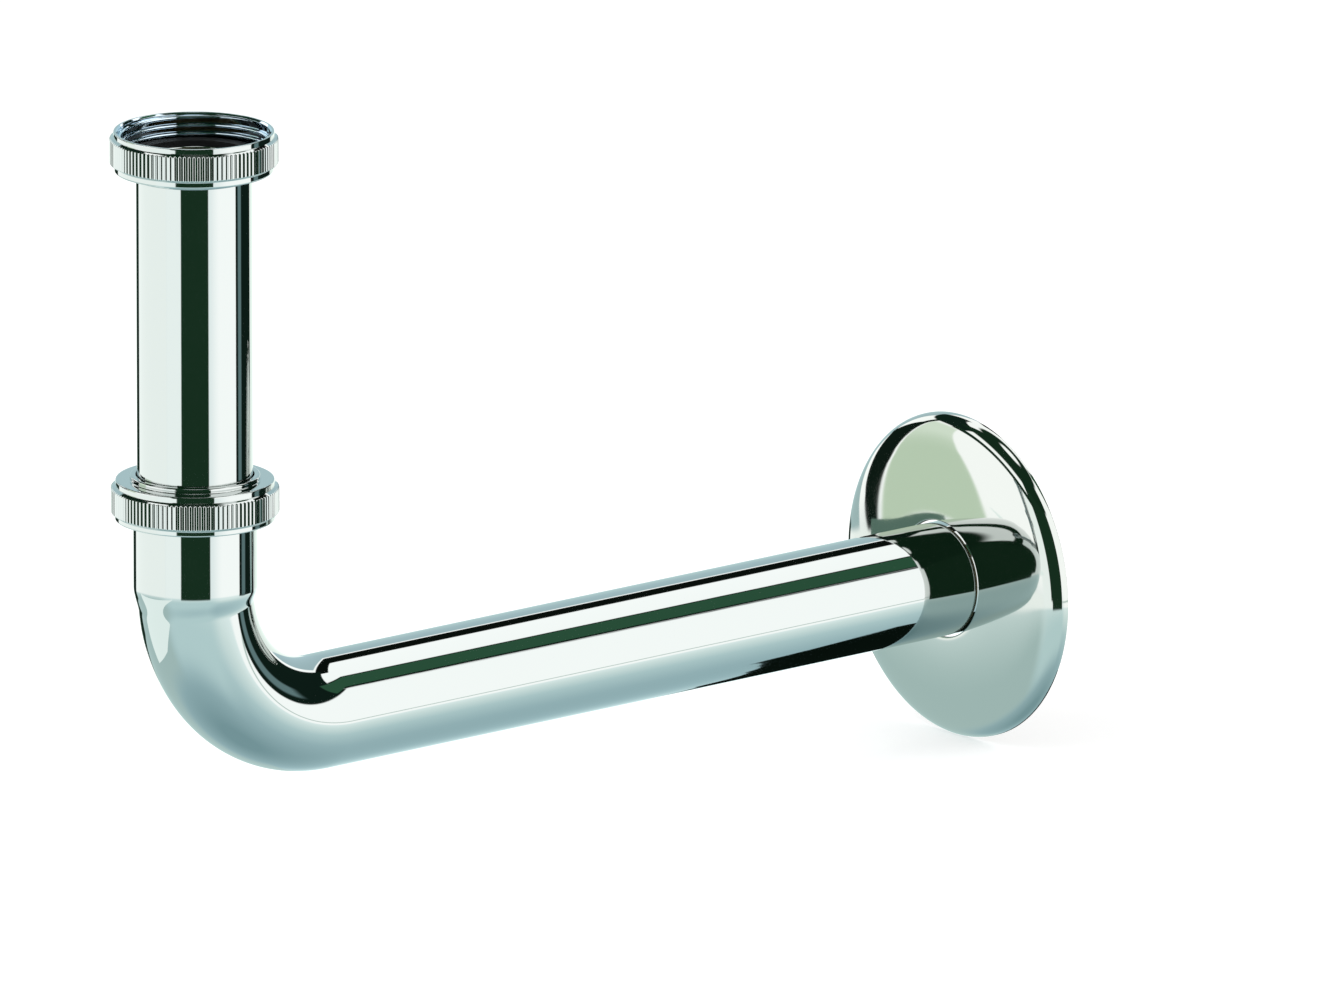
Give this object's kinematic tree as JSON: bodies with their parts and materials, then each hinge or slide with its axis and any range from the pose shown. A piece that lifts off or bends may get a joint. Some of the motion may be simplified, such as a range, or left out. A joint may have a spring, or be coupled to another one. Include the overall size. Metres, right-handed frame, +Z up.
{
  "type": "waste elbow",
  "caption": "Chromed basin waste elbow: a knurled union nut on an upright tube, a compression nut on a swaged bend, and a shallow flange that slides on the outlet.",
  "frame": {"origin": "on the outlet's axis, in the wall plane that the flange's back lies in", "axes": "+X along the outlet into the wall, +Z up along the inlet tube"},
  "size_m": [0.3224, 0.0924, 0.2182],
  "materials": {
    "chromed_tube": "polished",
    "chromed_turning": "polished",
    "chromed_sheet": "polished",
    "rubber": "matte",
    "plastic": "moulded"
  },
  "bodies": {
    "elbow": {"outlet_elbow": "chromed_tube", "threaded_collar": "chromed_turning", "tapered_seal": "rubber"},
    "inlet": {"inlet_tube": "chromed_tube", "flat_washer": "rubber"},
    "union_nut": {"union_nut": "chromed_turning"},
    "slip_ring": {"slip_ring": "plastic"},
    "compression_nut": {"compression_nut": "chromed_turning"},
    "wall_flange": {"wall_flange": "chromed_sheet"}
  },
  "joints": [
    {"name": "inlet_slide", "type": "slide", "parent": "elbow", "child": "inlet", "axis": [0, 0, 1], "range_m": [0, 0.014]},
    {"name": "union_nut_spin", "type": "hinge", "parent": "inlet", "child": "union_nut", "pos_m": [-0.2772, 0, 0.166], "axis": [0, 0, 1], "continuous": true},
    {"name": "slip_ring_lift", "type": "slide", "parent": "elbow", "child": "slip_ring", "axis": [0, 0, 1], "range_m": [0, 0.00463]},
    {"name": "compression_nut_turn", "type": "hinge", "parent": "slip_ring", "child": "compression_nut", "pos_m": [-0.2772, 0, 0.0685], "axis": [0, 0, 1], "range_deg": [0, 720]},
    {"name": "flange_slide", "type": "slide", "parent": "elbow", "child": "wall_flange", "axis": [1, 0, 0], "range_m": [-0.22, 0.012]}
  ],
  "couplings": [
    {"joint": "slip_ring_lift", "follows": "compression_nut_turn", "m_per_rad": 0.00036749}
  ]
}
